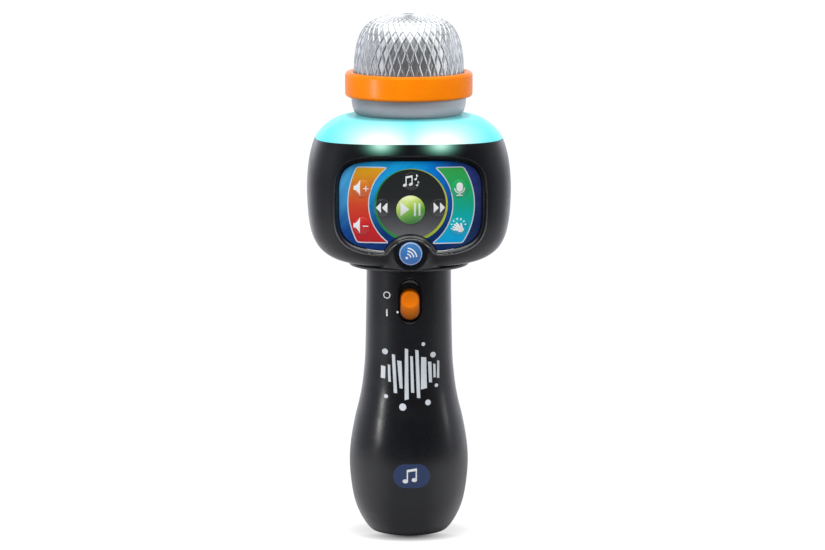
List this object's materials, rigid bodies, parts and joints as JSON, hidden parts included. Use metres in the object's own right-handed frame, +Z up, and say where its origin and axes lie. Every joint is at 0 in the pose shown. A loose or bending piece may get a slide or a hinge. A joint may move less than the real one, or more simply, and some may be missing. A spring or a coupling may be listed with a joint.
{
  "type": "toy microphone",
  "caption": "Handheld toy karaoke microphone: waisted handle, rounded head with push-button panel and rear speaker, glowing shoulder, coloured grip ring and ribbed silver grille.",
  "frame": {"origin": "centre of the flat base of the handle", "axes": "+Z up the handle towards the grille; the buttons face -Y; +X is to the right seen from the back, so to the viewer's right when the buttons are seen from the front"},
  "size_m": [0.0974, 0.071, 0.25],
  "materials": {
    "black_plastic": "fine satin",
    "dark_plastic": "matt",
    "screw_steel": "plated",
    "battery_sleeve": "foil sleeve, plain",
    "spring_steel": "plated",
    "contact_brass": "plated",
    "orange_plastic": "gloss",
    "white_plastic": "gloss",
    "circuit_board": "solder mask",
    "red_insulation": "satin",
    "black_insulation": "satin",
    "printed_panel": "gloss print, light blue to navy",
    "orange_key": "gloss print",
    "red_key": "gloss print",
    "charcoal_key": "gloss print",
    "green_key": "gloss print",
    "leaf_key": "gloss print",
    "teal_key": "gloss print",
    "blue_key": "gloss",
    "silicone": "matt",
    "chip_black": "moulded",
    "basket_steel": "painted",
    "cone_paper": "treated paper",
    "gasket_foam": "open foam",
    "led_lens": "clear lens",
    "glowing_plastic": "milky, lit from inside",
    "grey_plastic": "satin metallic",
    "silver_plastic": "metallised",
    "boot_rubber": "matt",
    "grey_insulation": "satin"
  },
  "bodies": {
    "microphone_body": {"handle_front_shell": "black_plastic", "handle_rear_shell": "black_plastic", "battery_tray": "dark_plastic", "battery_cells": "battery_sleeve", "battery_springs": "spring_steel", "contact_plates": "contact_brass", "handle_screws": "screw_steel", "switch_body": "spring_steel", "switch_board": "circuit_board", "switch_board_screws": "screw_steel", "power_wire_red": "red_insulation", "power_wire_black": "black_insulation", "neck_collar": "black_plastic", "head_front_shell": "black_plastic", "head_rear_shell": "black_plastic", "head_screws": "screw_steel", "control_panel": "printed_panel", "keypad_mat": "silicone", "main_board": "circuit_board", "board_chips": "chip_black", "board_screws": "screw_steel", "speaker_basket": "basket_steel", "speaker_magnet": "spring_steel", "speaker_cone": "cone_paper", "speaker_gasket": "gasket_foam", "speaker_screws": "screw_steel", "speaker_wires": "red_insulation", "reflector_plate": "white_plastic", "led_board": "white_plastic", "leds": "led_lens", "light_diffuser": "glowing_plastic", "grille_cup": "grey_plastic", "cup_screws": "screw_steel", "grip_ring": "orange_plastic", "grille_dome": "silver_plastic", "foam_liner": "gasket_foam", "mic_holder": "dark_plastic", "mic_boot": "boot_rubber", "mic_capsule": "spring_steel", "mic_wires": "grey_insulation", "grille_screws": "screw_steel"},
    "power_switch": {"switch_knob": "orange_plastic", "switch_lever": "white_plastic"},
    "volume_up_button": {"volume_up_button": "orange_key"},
    "volume_down_button": {"volume_down_button": "red_key"},
    "previous_button": {"previous_button": "charcoal_key"},
    "next_button": {"next_button": "charcoal_key"},
    "song_button": {"song_button": "charcoal_key"},
    "play_button": {"play_button": "green_key"},
    "voice_button": {"voice_button": "leaf_key"},
    "clap_button": {"clap_button": "teal_key"},
    "pairing_button": {"pairing_button": "blue_key"},
    "battery_cover": {"battery_door": "black_plastic", "door_screw": "screw_steel"}
  },
  "joints": [
    {"name": "power_switch_slide", "type": "slide", "parent": "microphone_body", "child": "power_switch", "axis": [0, 0, 1], "range_m": [0, 0.0036]},
    {"name": "volume_up_button_press", "type": "slide", "parent": "microphone_body", "child": "volume_up_button", "axis": [0.2082, 0.9781, 0], "range_m": [0, 0.0008]},
    {"name": "volume_down_button_press", "type": "slide", "parent": "microphone_body", "child": "volume_down_button", "axis": [0.2091, 0.9779, 0], "range_m": [0, 0.0008]},
    {"name": "previous_button_press", "type": "slide", "parent": "microphone_body", "child": "previous_button", "axis": [0.1227, 0.9924, 0], "range_m": [0, 0.0008]},
    {"name": "next_button_press", "type": "slide", "parent": "microphone_body", "child": "next_button", "axis": [-0.1218, 0.9926, 0], "range_m": [0, 0.0008]},
    {"name": "song_button_press", "type": "slide", "parent": "microphone_body", "child": "song_button", "axis": [-0.0036, 1, 0], "range_m": [0, 0.0008]},
    {"name": "play_button_press", "type": "slide", "parent": "microphone_body", "child": "play_button", "axis": [0, 1, 0], "range_m": [0, 0.0008]},
    {"name": "voice_button_press", "type": "slide", "parent": "microphone_body", "child": "voice_button", "axis": [-0.21, 0.9777, 0], "range_m": [0, 0.0008]},
    {"name": "clap_button_press", "type": "slide", "parent": "microphone_body", "child": "clap_button", "axis": [-0.2055, 0.9787, 0], "range_m": [0, 0.0008]},
    {"name": "pairing_button_press", "type": "slide", "parent": "microphone_body", "child": "pairing_button", "axis": [0, 1, 0], "range_m": [0, 0.0008]},
    {"name": "battery_cover_lift", "type": "slide", "parent": "microphone_body", "child": "battery_cover", "axis": [0, 1, 0], "range_m": [0, 0.03]}
  ]
}
